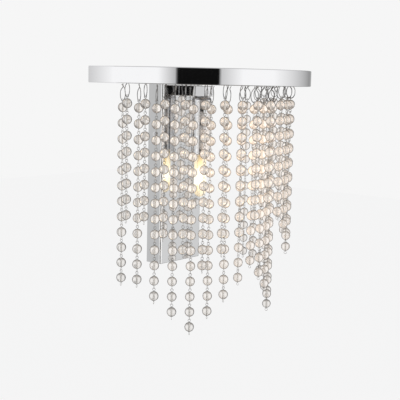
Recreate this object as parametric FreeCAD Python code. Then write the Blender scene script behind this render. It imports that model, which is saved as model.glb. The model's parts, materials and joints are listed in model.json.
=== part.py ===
import FreeCAD, Part
import math
import os

V = FreeCAD.Vector

# Wall sconce with a D-shaped chrome band, a tray-shaped wall cover, one hanging lamp cup
# and two rows of glass bead strings.
# Millimetres. Origin: middle of the wall bracket, on the wall. +Z up, the front faces -Y.

# --- band and hook plate ---------------------------------------------------------------
BAND_RADIUS = 152.0         # outside radius of the half-round front
BAND_LEG = 43.0             # straight run from the wall to the half round
BAND_HEIGHT = 20.0
BAND_WALL = 1.5
BAND_CORNER = 3.0           # outside radius where a leg turns in along the wall
BAND_RETURN = 18.0          # length of the turned-in end, from the outside of the leg
BAND_CENTRE_Z = 76.0        # middle of the band above the bracket's middle
WALL_GAP = 1.0              # band and hook plate stop this short of the wall
HOOK_PLATE_THICKNESS = 1.5
HOOK_PLATE_RISE = 4.0       # underside of the plate above the band's middle
PLATE_FIT = 0.05            # weld gap round the plate's edge

# --- wall cover ------------------------------------------------------------------------
COVER_WIDTH = 82.0
COVER_DEPTH = 24.4
COVER_HEIGHT = 252.0
COVER_WALL = 1.2
COVER_CORNER = 3.0

# --- wall bracket ----------------------------------------------------------------------
BRACKET_WIDTH = 44.0
BRACKET_HEIGHT = 120.0
BRACKET_THICKNESS = 1.5
BRACKET_CROSS = 24.0        # height of the cross strap
TAB_HEIGHT = 20.0
TAB_REACH = 20.0
TAB_CLEARANCE = 0.2         # between a tab and the cover's inside face
SLOT_SPACING = 90.0
SLOT_LENGTH = 14.0
SLOT_WIDTH = 5.0
CABLE_HOLE_RADIUS = 7.0
CABLE_BORE_RADIUS = 4.5
GROMMET_FLANGE = 2.0

# --- fasteners -------------------------------------------------------------------------
M4_RADIUS = 2.0
M4_HEAD_RADIUS = 3.6
M4_HEAD_HEIGHT = 2.6
M4_NUT_FLATS = 7.0
M4_NUT_HEIGHT = 3.2
HOLE_CLEARANCE = 0.2
THREAD_FIT = 0.05
SIDE_SCREW_LENGTH = 9.0
CANOPY_SCREW_SPACING = 44.0
CANOPY_SCREW_TAIL = 1.0     # thread that stands past the nut
WASHER_THICKNESS = 0.8
NIPPLE_RADIUS = 3.0
NIPPLE_BORE = 2.1
NIPPLE_NUT_FLATS = 10.0
NIPPLE_NUT_HEIGHT = 3.5
NIPPLE_TAIL = 1.0

# --- terminal block --------------------------------------------------------------------
TERMINAL_WIDTH = 30.0
TERMINAL_HEIGHT = 16.0
TERMINAL_DEPTH = 12.0
TERMINAL_Z = 22.0           # underside of the block
TERMINAL_PITCH = 10.0
TERMINAL_WELL_RADIUS = 2.4
TERMINAL_WELL_DEPTH = 5.0
TERMINAL_SCREW_RADIUS = 1.8
TERMINAL_SCREW_HEIGHT = 3.0
EARTH_SCREW_X = -15.0
EARTH_SCREW_Z = -24.0

# --- lamp arm, cup and holder ----------------------------------------------------------
ARM_WIDTH = 18.0
ARM_OVERHANG = 12.0         # front face of the arm in front of the cup's axis
ARM_HEIGHT = 13.5
ARM_DROP = 12.0             # top of the arm below the band's middle
ARM_WALL = 1.2
ARM_BOSS_THICKNESS = 4.0
ARM_BOSS_RADIUS = 8.0
CUP_REACH = 31.6            # cup axis in front of the cover
CUP_RADIUS = 13.0
CUP_WALL = 1.0
CUP_HEIGHT = 75.5
CUP_SHOULDER = 5.0          # radius of the cup's rounded top edge
HOLDER_STRAP = 1.0          # sheet of the holder bracket
HOLDER_STRAP_WIDTH = 9.0
HOLDER_WIDTH = 10.4
HOLDER_DEPTH = 18.0
HOLDER_HEIGHT = 18.0
HOLDER_DROP = 48.5          # top of the holder below the arm's underside
HOLDER_FIT = 0.1
RIVET_RADIUS = 1.0
RIVET_HEAD_RADIUS = 1.8
RIVET_HEAD_HEIGHT = 0.8
RIVET_DEPTH = 2.0
PIN_SPACING = 9.0
PIN_RADIUS = 0.75
PIN_LENGTH = 6.0
PIN_HOLE_RADIUS = 0.9
PIN_HOLE_DEPTH = 8.0

# --- bulb ------------------------------------------------------------------------------
BULB_BASE_RADIUS = 7.0
BULB_BASE_HEIGHT = 9.0
BULB_RADIUS = 8.0
BULB_LENGTH = 57.0
BULB_WALL = 0.8
CORE_RADIUS = 2.5
CORE_LENGTH = 45.0

# --- leads -----------------------------------------------------------------------------
LEAD_RADIUS = 0.7
LEAD_SPACING = 2.0
LEAD_DEPTH = 10.0           # leads leave the terminal block this far from the wall
LEAD_BEND_COVER = 6.0
LEAD_BEND_CUP = 5.0

# --- beads, links and hooks ------------------------------------------------------------
BEAD_DIAMETER = 12.0
BEAD_POLE = 6.3             # from a faceted bead's middle to its corners
BEAD_GAP = 7.2              # from one bead's surface to the next
LINK_RADIUS = 0.55
TAIL_EYE_LENGTH = 4.2       # empty eye below the last bead
EYE_HALF = 2.1              # half diagonal of the eye that rides on the hook
EYE_HOLE_HALF = 1.4
EYE_THICKNESS = 0.6
HOOK_WIRE = 1.2
HOOK_HALF_WIDTH = 3.3
HOOK_SEAT = 1.2             # half of the level stretch that the eye rides on
HOOK_LOOP_HEIGHT = 14.0
HOOK_TAIL = 4.5             # end of the hook bent over the plate
HOOK_HOLE_RADIUS = 1.1

# --- rows of strings -------------------------------------------------------------------
OUTER_INSET = 9.0           # from the band's outside to the outer row, at the sides
OUTER_DRAWBACK = 19.5       # middle of the outer row's arc behind the band's
OUTER_STEP_DEG = 9.6
OUTER_FIRST_BEAD_DROP = 33.6    # middle of the first bead below the band's middle
OUTER_BEAD_COUNTS = (8, 8, 9, 10, 11, 10, 9, 8, 7, 8, 9, 10, 11, 10, 9, 8, 8)
INNER_INSET = 23.5
INNER_DRAWBACK = 30.0
INNER_STEP_DEG = 9.95
INNER_FIRST_BEAD_DROP = 39.2
INNER_BEAD_COUNTS = (12, 12, 13, 14, 15, 14, 13, 12, 11, 12, 13, 14, 15, 14, 13, 12, 12)

# --- places worked out from the sizes above ---------------------------------------------
HOOK_PLATE_Z = BAND_CENTRE_Z + HOOK_PLATE_RISE
HOOK_PLATE_TOP = HOOK_PLATE_Z + HOOK_PLATE_THICKNESS
COVER_TOP = HOOK_PLATE_Z
COVER_BOTTOM = COVER_TOP - COVER_HEIGHT
COVER_FRONT = -COVER_DEPTH
COVER_INSIDE = COVER_WIDTH / 2 - COVER_WALL
TAB_OUTSIDE = COVER_INSIDE - TAB_CLEARANCE
SIDE_SCREW_Y = -COVER_DEPTH / 2
ARM_TOP = BAND_CENTRE_Z - ARM_DROP
ARM_BOTTOM = ARM_TOP - ARM_HEIGHT
ARM_AXIS_Z = ARM_TOP - ARM_HEIGHT / 2
CUP_Y = COVER_FRONT - CUP_REACH
CUP_TOP = ARM_BOTTOM
CUP_RIM = CUP_TOP - CUP_HEIGHT
STRAP_TOP = CUP_TOP - CUP_WALL
STRAP_UNDER = STRAP_TOP - HOLDER_STRAP
STRAP_OUTSIDE = HOLDER_WIDTH / 2 + HOLDER_FIT + HOLDER_STRAP
HOLDER_TOP = ARM_BOTTOM - HOLDER_DROP
HOLDER_BOTTOM = HOLDER_TOP - HOLDER_HEIGHT
RIVET_Z = HOLDER_TOP - HOLDER_HEIGHT / 3
GLASS_TOP = HOLDER_BOTTOM - BULB_BASE_HEIGHT
BEAD_PITCH = BEAD_DIAMETER + BEAD_GAP
BEAD_TO_PIVOT = BEAD_POLE + EYE_HALF

SHAPES = {}


def keep(name, *solids):
    """One named sub-part, as a single solid or a group of separate solids."""
    SHAPES[name] = solids[0] if len(solids) == 1 else Part.makeCompound(list(solids))


def box(x0, x1, y0, y1, z0, z1):
    return Part.makeBox(x1 - x0, y1 - y0, z1 - z0, V(x0, y0, z0))


def rod(radius, start, end):
    """Round bar between two points."""
    along = end - start
    return Part.makeCylinder(radius, along.Length, start, along)


def hexagon(flats, height, start, direction):
    """Hexagonal block with its flats facing +X and -X, or up and down."""
    corner = flats / math.sqrt(3)
    points = [V(corner * math.sin(math.radians(60 * k)), corner * math.cos(math.radians(60 * k)), 0)
              for k in range(7)]
    block = Part.Face(Part.makePolygon(points)).extrude(V(0, 0, height))
    block.Placement = FreeCAD.Placement(start, FreeCAD.Rotation(V(0, 0, 1), direction))
    return block


def d_outline(radius, leg, back, corner):
    """D in plan: straight back and legs joined by round corners, then a half round."""
    k = corner * (1 - math.sqrt(0.5))
    front = [V(radius, -leg, 0), V(-radius, -leg, 0)]
    legs = [V(radius, -back - corner, 0), V(-radius, -back - corner, 0)]
    rear = [V(radius - corner, -back, 0), V(-radius + corner, -back, 0)]
    edges = [Part.LineSegment(front[0], legs[0]).toShape(),
             Part.Arc(legs[0], V(radius - k, -back - k, 0), rear[0]).toShape(),
             Part.LineSegment(rear[0], rear[1]).toShape(),
             Part.Arc(rear[1], V(-radius + k, -back - k, 0), legs[1]).toShape(),
             Part.LineSegment(legs[1], front[1]).toShape(),
             Part.Arc(front[1], V(0, -leg - radius, 0), front[0]).toShape()]
    return Part.Face(Part.Wire(edges))


def prism_between(face, z0, z1):
    solid = face.extrude(V(0, 0, z1 - z0))
    solid.translate(V(0, 0, z0))
    return solid


def turned(points, centre):
    """Body of revolution about the vertical through centre, from (radius, height) points
    or (through, end) pairs of points for arcs."""
    edges = []
    here = points[0]
    for step in points[1:] + [points[0]]:
        a = V(here[0], 0, here[1])
        if isinstance(step[0], tuple):
            edges.append(Part.Arc(a, V(step[0][0], 0, step[0][1]), V(step[1][0], 0, step[1][1])).toShape())
            here = step[1]
        else:
            edges.append(Part.LineSegment(a, V(step[0], 0, step[1])).toShape())
            here = step
    solid = Part.Face(Part.Wire(edges)).revolve(V(0, 0, 0), V(0, 0, 1), 360)
    solid.translate(centre)
    return solid


def arc_through(centre_r, centre_z, radius, angle_deg):
    return (centre_r + radius * math.cos(math.radians(angle_deg)),
            centre_z + radius * math.sin(math.radians(angle_deg)))


def make_band():
    outside = prism_between(d_outline(BAND_RADIUS, BAND_LEG, WALL_GAP, BAND_CORNER),
                            BAND_CENTRE_Z - BAND_HEIGHT / 2, BAND_CENTRE_Z + BAND_HEIGHT / 2)
    inside = prism_between(d_outline(BAND_RADIUS - BAND_WALL, BAND_LEG, WALL_GAP + BAND_WALL,
                                     BAND_CORNER - BAND_WALL),
                           BAND_CENTRE_Z - BAND_HEIGHT, BAND_CENTRE_Z + BAND_HEIGHT)
    open_half = BAND_RADIUS - BAND_RETURN
    rear_gap = box(-open_half, open_half, -2 * WALL_GAP - BAND_WALL, 0,
                   BAND_CENTRE_Z - BAND_HEIGHT, BAND_CENTRE_Z + BAND_HEIGHT)
    keep("canopy_band", outside.cut([inside, rear_gap]))


def row_places(inset, drawback, step_deg, beads):
    """Position, tangent and outward direction of every string of a row."""
    radius = BAND_RADIUS - inset
    middle = V(0, drawback - BAND_LEG, 0)
    places = []
    for index in range(len(beads)):
        turn = math.radians(step_deg) * (index - (len(beads) - 1) / 2)
        outward = V(math.sin(turn), -math.cos(turn), 0)
        tangent = V(math.cos(turn), math.sin(turn), 0)
        places.append((middle + outward * radius, tangent, outward))
    return places


def make_hook_plate(hook_points):
    rim = BAND_WALL + PLATE_FIT
    sheet = prism_between(d_outline(BAND_RADIUS - rim, BAND_LEG, WALL_GAP + rim, BAND_CORNER - rim),
                          HOOK_PLATE_Z, HOOK_PLATE_TOP)
    deep = V(0, 0, 3 * HOOK_PLATE_THICKNESS)
    cutters = []
    for point in hook_points:
        start = V(point.x, point.y, HOOK_PLATE_Z - HOOK_PLATE_THICKNESS)
        cutters.append(rod(HOOK_HOLE_RADIUS, start, start + deep))
    for side in (-1, 1):
        start = V(side * CANOPY_SCREW_SPACING / 2, SIDE_SCREW_Y, HOOK_PLATE_Z - HOOK_PLATE_THICKNESS)
        cutters.append(rod(M4_RADIUS + HOLE_CLEARANCE, start, start + deep))
    keep("hook_plate", sheet.cut(cutters))


def cover_outline(half_width, front, corner, back):
    """Plan of the tray with two rounded front corners."""
    k = corner * (1 - math.sqrt(0.5))
    points = [V(half_width, back, 0), V(-half_width, back, 0), V(-half_width, front + corner, 0)]
    edges = [Part.LineSegment(a, b).toShape() for a, b in zip(points, points[1:])]
    left_end = V(-half_width + corner, front, 0)
    right_start = V(half_width - corner, front, 0)
    edges.append(Part.Arc(points[2], V(-half_width + k, front + k, 0), left_end).toShape())
    edges.append(Part.LineSegment(left_end, right_start).toShape())
    right_end = V(half_width, front + corner, 0)
    edges.append(Part.Arc(right_start, V(half_width - k, front + k, 0), right_end).toShape())
    edges.append(Part.LineSegment(right_end, points[0]).toShape())
    return Part.Face(Part.Wire(edges))


def make_cover():
    outside = prism_between(cover_outline(COVER_WIDTH / 2, COVER_FRONT, COVER_CORNER, 0),
                            COVER_BOTTOM, COVER_TOP)
    inside = prism_between(cover_outline(COVER_INSIDE, COVER_FRONT + COVER_WALL,
                                         COVER_CORNER - COVER_WALL, COVER_WALL),
                           COVER_BOTTOM + COVER_WALL, COVER_TOP - COVER_WALL)
    half = COVER_WIDTH / 2 + COVER_WALL
    cutters = [rod(M4_RADIUS + HOLE_CLEARANCE, V(-half, SIDE_SCREW_Y, 0), V(half, SIDE_SCREW_Y, 0)),
               rod(NIPPLE_RADIUS + HOLE_CLEARANCE, V(0, COVER_FRONT - COVER_WALL, ARM_AXIS_Z),
                   V(0, COVER_FRONT + 2 * COVER_WALL, ARM_AXIS_Z))]
    for side in (-1, 1):
        x = side * CANOPY_SCREW_SPACING / 2
        cutters.append(rod(M4_RADIUS + HOLE_CLEARANCE, V(x, SIDE_SCREW_Y, COVER_TOP - 2 * COVER_WALL),
                           V(x, SIDE_SCREW_Y, COVER_TOP + COVER_WALL)))
    keep("back_cover", outside.cut(inside).cut(cutters))


def make_bracket():
    back = -BRACKET_THICKNESS
    body = box(-BRACKET_WIDTH / 2, BRACKET_WIDTH / 2, back, 0, -BRACKET_HEIGHT / 2, BRACKET_HEIGHT / 2)
    cross = box(-TAB_OUTSIDE, TAB_OUTSIDE, back, 0, -BRACKET_CROSS / 2, BRACKET_CROSS / 2)
    tabs = []
    for side in (-1, 1):
        x = sorted((side * TAB_OUTSIDE, side * (TAB_OUTSIDE - BRACKET_THICKNESS)))
        tabs.append(box(x[0], x[1], -TAB_REACH, 0, -TAB_HEIGHT / 2, TAB_HEIGHT / 2))
    body = body.fuse([cross] + tabs).removeSplitter()
    cutters = [rod(CABLE_HOLE_RADIUS, V(0, back - 1, 0), V(0, 1, 0)),
               rod(M4_RADIUS + THREAD_FIT, V(-TAB_OUTSIDE - 1, SIDE_SCREW_Y, 0),
                   V(TAB_OUTSIDE + 1, SIDE_SCREW_Y, 0)),
               rod(M4_RADIUS + THREAD_FIT, V(EARTH_SCREW_X, back - 1, EARTH_SCREW_Z),
                   V(EARTH_SCREW_X, 1, EARTH_SCREW_Z))]
    reach = (SLOT_LENGTH - SLOT_WIDTH) / 2
    for z in (-SLOT_SPACING / 2, SLOT_SPACING / 2):
        ends = [rod(SLOT_WIDTH / 2, V(0, back - 1, z + s * reach), V(0, 1, z + s * reach))
                for s in (-1, 1)]
        middle = box(-SLOT_WIDTH / 2, SLOT_WIDTH / 2, back - 1, 1, z - reach, z + reach)
        cutters += ends + [middle]
    keep("wall_bracket", body.cut(cutters))
    sleeve = rod(CABLE_HOLE_RADIUS - THREAD_FIT, V(0, 0, 0), V(0, back, 0))
    flange = rod(CABLE_HOLE_RADIUS + GROMMET_FLANGE, V(0, back, 0), V(0, back - GROMMET_FLANGE, 0))
    bore = rod(CABLE_BORE_RADIUS, V(0, 1, 0), V(0, back - 2 * GROMMET_FLANGE, 0))
    keep("cable_grommet", sleeve.fuse(flange).cut(bore))


def pan_screw(seat, inward, length):
    """Pan head on its seat, with the shank running inward."""
    head = rod(M4_HEAD_RADIUS, seat, seat - inward * M4_HEAD_HEIGHT)
    return head.fuse(rod(M4_RADIUS, seat, seat + inward * length))


def make_fasteners():
    screws = []
    for side in (-1, 1):
        seat = V(side * COVER_WIDTH / 2, SIDE_SCREW_Y, 0)
        screws.append(pan_screw(seat, V(-side, 0, 0), SIDE_SCREW_LENGTH))
    keep("cover_screws", *screws)
    length = HOOK_PLATE_THICKNESS + COVER_WALL + M4_NUT_HEIGHT + CANOPY_SCREW_TAIL
    screws = []
    nuts = []
    for side in (-1, 1):
        x = side * CANOPY_SCREW_SPACING / 2
        screws.append(pan_screw(V(x, SIDE_SCREW_Y, HOOK_PLATE_TOP), V(0, 0, -1), length))
        under = V(x, SIDE_SCREW_Y, COVER_TOP - COVER_WALL - M4_NUT_HEIGHT)
        nut = hexagon(M4_NUT_FLATS, M4_NUT_HEIGHT, under, V(0, 0, 1))
        nuts.append(nut.cut(rod(M4_RADIUS + THREAD_FIT, under, under + V(0, 0, M4_NUT_HEIGHT))))
    keep("canopy_screws", *screws)
    keep("canopy_nuts", *nuts)
    seat = V(EARTH_SCREW_X, -BRACKET_THICKNESS, EARTH_SCREW_Z)
    front = seat - V(0, WASHER_THICKNESS, 0)
    washer = rod(M4_HEAD_RADIUS + 1, seat, front).cut(rod(M4_RADIUS + THREAD_FIT, seat, front))
    screw = pan_screw(front, V(0, 1, 0), BRACKET_THICKNESS + WASHER_THICKNESS)
    keep("earth_screw", screw, washer)


def make_terminal():
    front = -BRACKET_THICKNESS - TERMINAL_DEPTH
    top = TERMINAL_Z + TERMINAL_HEIGHT
    block = box(-TERMINAL_WIDTH / 2, TERMINAL_WIDTH / 2, front, -BRACKET_THICKNESS, TERMINAL_Z, top)
    cutters = []
    screws = []
    for pole in (-1, 0, 1):
        mouth = V(pole * TERMINAL_PITCH, front, TERMINAL_Z + TERMINAL_HEIGHT / 2)
        floor = mouth + V(0, TERMINAL_WELL_DEPTH, 0)
        cutters.append(rod(TERMINAL_WELL_RADIUS, mouth, floor))
        screws.append(rod(TERMINAL_SCREW_RADIUS, floor, floor - V(0, TERMINAL_SCREW_HEIGHT, 0)))
    keep("terminal_block", block.cut(cutters))
    keep("terminal_screws", *screws)


def make_arm():
    half = ARM_WIDTH / 2
    front = CUP_Y - ARM_OVERHANG
    outside = box(-half, half, front, COVER_FRONT, ARM_BOTTOM, ARM_TOP)
    cavity = box(-half + ARM_WALL, half - ARM_WALL, front + ARM_WALL, COVER_FRONT - ARM_BOSS_THICKNESS,
                 ARM_BOTTOM + ARM_WALL, ARM_TOP - ARM_WALL)
    boss_top = V(0, CUP_Y, ARM_BOTTOM + ARM_BOSS_THICKNESS)
    cavity = cavity.cut(rod(ARM_BOSS_RADIUS, V(0, CUP_Y, ARM_BOTTOM), boss_top))
    thread = NIPPLE_RADIUS + THREAD_FIT
    back_hole = rod(thread, V(0, COVER_FRONT + 1, ARM_AXIS_Z),
                    V(0, COVER_FRONT - ARM_BOSS_THICKNESS - 1, ARM_AXIS_Z))
    cup_hole = rod(thread, V(0, CUP_Y, ARM_BOTTOM - 1), boss_top + V(0, 0, 1))
    keep("lamp_arm", outside.cut(cavity).cut([back_hole, cup_hole]))


def threaded_tube(start, end):
    return rod(NIPPLE_RADIUS, start, end).cut(rod(NIPPLE_BORE, start, end))


def make_nipples():
    inside = COVER_FRONT + COVER_WALL
    tail = V(0, inside + NIPPLE_NUT_HEIGHT + NIPPLE_TAIL, ARM_AXIS_Z)
    keep("arm_nipple", threaded_tube(tail, V(0, COVER_FRONT - ARM_BOSS_THICKNESS, ARM_AXIS_Z)))
    top = V(0, CUP_Y, ARM_BOTTOM + ARM_BOSS_THICKNESS)
    keep("cup_nipple", threaded_tube(top, V(0, CUP_Y, STRAP_UNDER - NIPPLE_NUT_HEIGHT - NIPPLE_TAIL)))
    cover_seat = V(0, inside, ARM_AXIS_Z)
    cover_nut = hexagon(NIPPLE_NUT_FLATS, NIPPLE_NUT_HEIGHT, cover_seat, V(0, 1, 0))
    bore = rod(NIPPLE_RADIUS + THREAD_FIT, cover_seat, cover_seat + V(0, NIPPLE_NUT_HEIGHT, 0))
    cup_seat = V(0, CUP_Y, STRAP_UNDER - NIPPLE_NUT_HEIGHT)
    cup_nut = hexagon(NIPPLE_NUT_FLATS, NIPPLE_NUT_HEIGHT, cup_seat, V(0, 0, 1))
    cup_bore = rod(NIPPLE_RADIUS + THREAD_FIT, cup_seat, cup_seat + V(0, 0, NIPPLE_NUT_HEIGHT))
    keep("nipple_nuts", cover_nut.cut(bore), cup_nut.cut(cup_bore))


def make_cup():
    hole = NIPPLE_RADIUS + HOLE_CLEARANCE
    flat = CUP_RADIUS - CUP_SHOULDER
    shoulder_z = CUP_TOP - CUP_SHOULDER
    inner = CUP_SHOULDER - CUP_WALL
    bore = CUP_RADIUS - CUP_WALL
    profile = [(hole, CUP_TOP), (flat, CUP_TOP),
               (arc_through(flat, shoulder_z, CUP_SHOULDER, 45), (CUP_RADIUS, shoulder_z)),
               (CUP_RADIUS, CUP_RIM), (bore, CUP_RIM), (bore, shoulder_z),
               (arc_through(flat, shoulder_z, inner, 45), (flat, STRAP_TOP)), (hole, STRAP_TOP)]
    keep("lamp_cup", turned(profile, V(0, CUP_Y, 0)))


def make_holder():
    half = HOLDER_STRAP_WIDTH / 2
    leg_end = RIVET_Z - half
    strap = box(-STRAP_OUTSIDE, STRAP_OUTSIDE, CUP_Y - half, CUP_Y + half, STRAP_UNDER, STRAP_TOP)
    hole = rod(NIPPLE_RADIUS + HOLE_CLEARANCE / 2, V(0, CUP_Y, STRAP_UNDER - 1), V(0, CUP_Y, STRAP_TOP + 1))
    legs = []
    rivets = []
    sockets = []
    for side in (-1, 1):
        x = sorted((side * STRAP_OUTSIDE, side * (STRAP_OUTSIDE - HOLDER_STRAP)))
        legs.append(box(x[0], x[1], CUP_Y - half, CUP_Y + half, leg_end, STRAP_TOP))
        seat = V(side * STRAP_OUTSIDE, CUP_Y, RIVET_Z)
        tip = V(side * (HOLDER_WIDTH / 2 - RIVET_DEPTH), CUP_Y, RIVET_Z)
        head = rod(RIVET_HEAD_RADIUS, seat, seat + V(side * RIVET_HEAD_HEIGHT, 0, 0))
        rivets.append(head.fuse(rod(RIVET_RADIUS, seat, tip)))
        sockets.append(rod(RIVET_RADIUS + THREAD_FIT, seat, tip))
    keep("holder_bracket", strap.fuse(legs).removeSplitter().cut([hole] + sockets))
    keep("holder_rivets", *rivets)
    body = box(-HOLDER_WIDTH / 2, HOLDER_WIDTH / 2, CUP_Y - HOLDER_DEPTH / 2, CUP_Y + HOLDER_DEPTH / 2,
               HOLDER_BOTTOM, HOLDER_TOP)
    pins = []
    for side in (-1, 1):
        foot = V(0, CUP_Y + side * PIN_SPACING / 2, HOLDER_BOTTOM)
        sockets.append(rod(PIN_HOLE_RADIUS, foot, foot + V(0, 0, PIN_HOLE_DEPTH)))
        pins.append(rod(PIN_RADIUS, foot, foot + V(0, 0, PIN_LENGTH)))
    keep("lampholder", body.cut(sockets))
    cap = rod(BULB_BASE_RADIUS, V(0, CUP_Y, GLASS_TOP), V(0, CUP_Y, HOLDER_BOTTOM))
    keep("bulb_base", cap.fuse(pins))


def make_bulb():
    end = GLASS_TOP - BULB_LENGTH
    bend = end + BULB_RADIUS
    inner = BULB_RADIUS - BULB_WALL
    profile = [(BULB_RADIUS, GLASS_TOP), (BULB_RADIUS, bend),
               (arc_through(0, bend, BULB_RADIUS, -45), (0, end)), (0, end + BULB_WALL),
               (arc_through(0, bend, inner, -45), (inner, bend)), (inner, GLASS_TOP)]
    keep("bulb_glass", turned(profile, V(0, CUP_Y, 0)))
    keep("bulb_core", rod(CORE_RADIUS, V(0, CUP_Y, GLASS_TOP), V(0, CUP_Y, GLASS_TOP - CORE_LENGTH)))


def make_leads():
    """Two insulated leads from the terminal block through the arm to the lampholder."""
    leads = []
    turn_in = V(0, -LEAD_DEPTH - LEAD_BEND_COVER, ARM_AXIS_Z - LEAD_BEND_COVER)
    turn_down = V(0, CUP_Y + LEAD_BEND_CUP, ARM_AXIS_Z - LEAD_BEND_CUP)
    diagonal = math.sqrt(0.5)
    for side in (-1, 1):
        shift = V(side * LEAD_SPACING / 2, 0, 0)
        start = V(0, -LEAD_DEPTH, TERMINAL_Z + TERMINAL_HEIGHT)
        first = [V(0, -LEAD_DEPTH, turn_in.z),
                 turn_in + V(0, LEAD_BEND_COVER * diagonal, LEAD_BEND_COVER * diagonal),
                 V(0, turn_in.y, ARM_AXIS_Z)]
        second = [V(0, turn_down.y, ARM_AXIS_Z),
                  turn_down + V(0, -LEAD_BEND_CUP * diagonal, LEAD_BEND_CUP * diagonal),
                  V(0, CUP_Y, turn_down.z)]
        end = V(0, CUP_Y, HOLDER_TOP)
        path = Part.Wire([Part.LineSegment(start, first[0]).toShape(), Part.Arc(*first).toShape(),
                          Part.LineSegment(first[2], second[0]).toShape(), Part.Arc(*second).toShape(),
                          Part.LineSegment(second[2], end).toShape()])
        ring = Part.makePolygon([start + V(LEAD_RADIUS * math.cos(math.radians(60 * k)),
                                           LEAD_RADIUS * math.sin(math.radians(60 * k)), 0)
                                 for k in range(7)])
        lead = path.makePipeShell([ring], True, True)
        lead.translate(shift)
        leads.append(lead)
    keep("lamp_leads", *leads)


def faceted_bead():
    """Round bead in twenty flat faces, with a corner at each end of its bore."""
    ring = 2 * BEAD_POLE / math.sqrt(5)
    level = BEAD_POLE / math.sqrt(5)
    upper = [V(ring * math.cos(math.radians(72 * k)), ring * math.sin(math.radians(72 * k)), level)
             for k in range(5)]
    lower = [V(ring * math.cos(math.radians(72 * k + 36)), ring * math.sin(math.radians(72 * k + 36)),
               -level) for k in range(5)]
    north = V(0, 0, BEAD_POLE)
    south = V(0, 0, -BEAD_POLE)
    faces = []
    for k in range(5):
        after = (k + 1) % 5
        for corners in ((north, upper[k], upper[after]), (upper[k], lower[k], upper[after]),
                        (upper[after], lower[k], lower[after]), (south, lower[after], lower[k])):
            faces.append(Part.Face(Part.makePolygon(list(corners) + [corners[0]])))
    return Part.Solid(Part.Shell(faces))


def flat_bar(outline, holes, thickness, place, tangent, across):
    """Flat piece drawn in a vertical plane: u runs along across, v runs up."""
    def wire(points):
        return Part.makePolygon([place + across * u + V(0, 0, v) for u, v in points + points[:1]])
    normal = tangent if across != tangent else V(tangent.y, -tangent.x, 0)
    face = Part.Face([wire(outline)] + [wire(hole) for hole in holes])
    solid = face.extrude(normal * thickness)
    solid.translate(normal * (-thickness / 2))
    return solid


def diamond(half):
    return [(half, 0), (0, half), (-half, 0), (0, -half)]


def link_bar(x, y, top, bottom):
    points = [V(x + LINK_RADIUS * math.cos(math.radians(120 * k)),
                y + LINK_RADIUS * math.sin(math.radians(120 * k)), bottom) for k in range(4)]
    return Part.Face(Part.makePolygon(points)).extrude(V(0, 0, top - bottom))


def make_string(name, bead, place, tangent, outward, count, pivot_z):
    """Eye on the hook, beads on linked wire pins, and an empty eye at the end."""
    pivot = V(place.x, place.y, pivot_z)
    solids = [flat_bar(diamond(EYE_HALF), [diamond(EYE_HOLE_HALF)], EYE_THICKNESS, pivot, tangent, outward)]
    for index in range(count):
        z = pivot_z - BEAD_TO_PIVOT - index * BEAD_PITCH
        pearl = bead.copy()
        pearl.translate(V(place.x, place.y, z))
        solids.append(pearl)
        below = BEAD_PITCH - 2 * BEAD_POLE if index < count - 1 else TAIL_EYE_LENGTH
        solids.append(link_bar(place.x, place.y, z - BEAD_POLE, z - BEAD_POLE - below))
    keep(name, *solids)


def offset_path(points, distance):
    """Points moved sideways to the left of the path, mitred at each corner."""
    moved = []
    for index, (x, y) in enumerate(points):
        normals = []
        for a, b in ((index - 1, index), (index, index + 1)):
            if a >= 0 and b < len(points):
                dx = points[b][0] - points[a][0]
                dy = points[b][1] - points[a][1]
                length = math.hypot(dx, dy)
                normals.append((-dy / length, dx / length))
        nx = sum(n[0] for n in normals) / len(normals)
        ny = sum(n[1] for n in normals) / len(normals)
        scale = distance / (nx * nx + ny * ny)
        moved.append((x + nx * scale, y + ny * scale))
    return moved


def make_hooks(name, places, pivot_z):
    """Wire hooks: a tail bent over the plate, a stem, an oval loop and a flared tip."""
    over = HOOK_PLATE_TOP + HOOK_WIRE / 2 - pivot_z
    wide = HOOK_HALF_WIDTH
    shoulder = HOOK_LOOP_HEIGHT * 0.68
    waist = HOOK_LOOP_HEIGHT * 0.3
    path = [(HOOK_TAIL, over), (0, over), (0, HOOK_LOOP_HEIGHT), (wide, shoulder), (wide, waist),
            (HOOK_SEAT, 0), (-HOOK_SEAT, 0), (-wide, waist), (-wide, shoulder),
            (-wide * 0.6, HOOK_LOOP_HEIGHT), (-wide * 1.2, HOOK_LOOP_HEIGHT + wide)]
    outline = offset_path(path, HOOK_WIRE / 2) + offset_path(path, -HOOK_WIRE / 2)[::-1]
    hooks = []
    for place, tangent, outward in places:
        pivot = V(place.x, place.y, pivot_z)
        hooks.append(flat_bar(outline, [], HOOK_WIRE, pivot, tangent, tangent))
    keep(name, *hooks)


def make_rows():
    bead = faceted_bead()
    rows = (("outer", OUTER_INSET, OUTER_DRAWBACK, OUTER_STEP_DEG, OUTER_FIRST_BEAD_DROP,
             OUTER_BEAD_COUNTS),
            ("inner", INNER_INSET, INNER_DRAWBACK, INNER_STEP_DEG, INNER_FIRST_BEAD_DROP,
             INNER_BEAD_COUNTS))
    hook_points = []
    for row, inset, drawback, step_deg, drop, beads in rows:
        places = row_places(inset, drawback, step_deg, beads)
        pivot_z = BAND_CENTRE_Z - drop + BEAD_TO_PIVOT
        hook_points += [place for place, tangent, outward in places]
        make_hooks("s_hooks_" + row, places, pivot_z)
        for index, (place, tangent, outward) in enumerate(places):
            name = "bead_string_%s_%02d" % (row, index + 1)
            make_string(name, bead, place, tangent, outward, beads[index], pivot_z)
    return hook_points


def main():
    make_band()
    make_hook_plate(make_rows())
    make_cover()
    make_bracket()
    make_fasteners()
    make_terminal()
    make_arm()
    make_nipples()
    make_cup()
    make_holder()
    make_bulb()
    make_leads()
    os.makedirs("parts", exist_ok=True)
    for name, shape in SHAPES.items():
        shape.exportStep("parts/%s.step" % name)


main()
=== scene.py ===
import json
import math

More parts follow.
